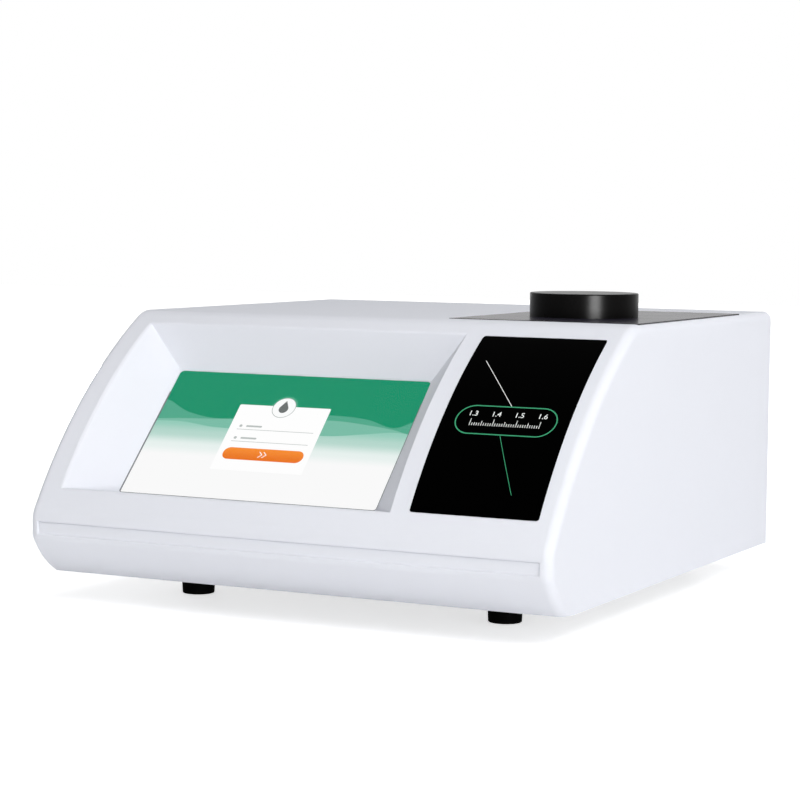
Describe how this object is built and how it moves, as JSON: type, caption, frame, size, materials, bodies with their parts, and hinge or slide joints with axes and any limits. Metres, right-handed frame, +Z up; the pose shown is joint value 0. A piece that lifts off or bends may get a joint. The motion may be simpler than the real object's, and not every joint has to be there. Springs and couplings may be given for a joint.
{
  "type": "abbe refractometer",
  "caption": "Benchtop automatic refractometer: white wedge case with sunken touch screen, black front panel, and a black glass stage with sample dish and lift-off cap.",
  "frame": {"origin": "on the surface that the feet stand on, under the middle of the case", "axes": "+X to the operator's right, +Y from the front to the back, +Z up"},
  "size_m": [0.43, 0.462, 0.2375],
  "materials": {
    "case_white": "moulded, fine texture, semi-gloss, near-white",
    "sheet_grey": "powder-coated steel sheet, light grey",
    "touch_glass": "cover glass over a lit touch screen",
    "module_black": "black display module",
    "steel_bright": "bright zinc-plated or stainless steel",
    "panel_black": "black high-gloss panel",
    "stage_black": "black glass plate, polished",
    "dish_steel": "turned stainless steel",
    "seal_black": "soft black seal",
    "prism_glass": "polished optical glass",
    "cap_black": "black moulded cap, satin",
    "liner_grey": "dark grey moulded liner",
    "cast_grey": "machined aluminium",
    "block_black": "black anodised aluminium",
    "board_green": "circuit board with parts",
    "peltier_white": "ceramic faces",
    "fan_black": "black moulded fan",
    "inlet_black": "black moulded electrical fitting",
    "pin_brass": "nickel-plated brass",
    "port_metal": "plated steel shell",
    "fuse_glass": "glass fuse",
    "foot_rubber": "black rubber",
    "cable_grey": "insulated cable"
  },
  "bodies": {
    "case": {"base_plate": "sheet_grey", "base_screws": "steel_bright", "block_screws": "steel_bright", "board_supports": "steel_bright", "chassis_screws": "steel_bright", "collimator_lens": "prism_glass", "dish_screws": "steel_bright", "dish_seal": "seal_black", "display_board": "board_green", "display_bracket": "steel_bright", "display_module": "module_black", "display_ribbon": "cable_grey", "display_screws": "steel_bright", "fan_frame": "fan_black", "fan_guard": "steel_bright", "fan_screws": "steel_bright", "foot_screws": "steel_bright", "front_left_foot": "foot_rubber", "front_panel": "panel_black", "front_right_foot": "foot_rubber", "heat_sink": "cast_grey", "housing": "case_white", "inlet_pins": "pin_brass", "led_board": "board_green", "lens_barrel": "block_black", "light_filter": "prism_glass", "main_board": "board_green", "mains_inlet": "inlet_black", "mains_leads": "cable_grey", "network_port": "port_metal", "objective_lens": "prism_glass", "optics_block": "block_black", "optics_chassis": "cast_grey", "peltier_module": "peltier_white", "prism": "prism_glass", "prism_holder": "block_black", "prism_seal": "seal_black", "rear_left_foot": "foot_rubber", "rear_panel": "sheet_grey", "rear_right_foot": "foot_rubber", "rear_screws": "steel_bright", "sample_dish": "dish_steel", "sensor_board": "board_green", "sensor_cable": "cable_grey", "serial_port": "port_metal", "sink_screws": "steel_bright", "stage_plate": "stage_black", "supply_board": "board_green", "supply_case": "sheet_grey", "switch_frame": "inlet_black", "temperature_probe": "steel_bright", "touch_glass": "touch_glass", "usb_ports": "port_metal"},
    "cap": {"cap_body": "cap_black", "cap_seal": "seal_black", "cap_liner": "liner_grey"},
    "rotor": {"fan_rotor": "fan_black"},
    "drawer": {"fuse_drawer": "inlet_black", "fuse": "fuse_glass"},
    "rocker": {"switch_rocker": "inlet_black"}
  },
  "joints": [
    {"name": "cap_lift", "type": "slide", "parent": "case", "child": "cap", "axis": [0, 0, 1], "range_m": [0, 0.06]},
    {"name": "switch_rock", "type": "hinge", "parent": "case", "child": "rocker", "pos_m": [0.112, 0.223, 0.068], "axis": [1, 0, 0], "range_deg": [0, 18]},
    {"name": "fan_spin", "type": "hinge", "parent": "case", "child": "rotor", "pos_m": [0.128, 0.215, 0.168], "axis": [0, 1, 0], "continuous": true},
    {"name": "fuse_drawer_slide", "type": "slide", "parent": "case", "child": "drawer", "axis": [0, 1, 0], "range_m": [0, 0.022]}
  ]
}
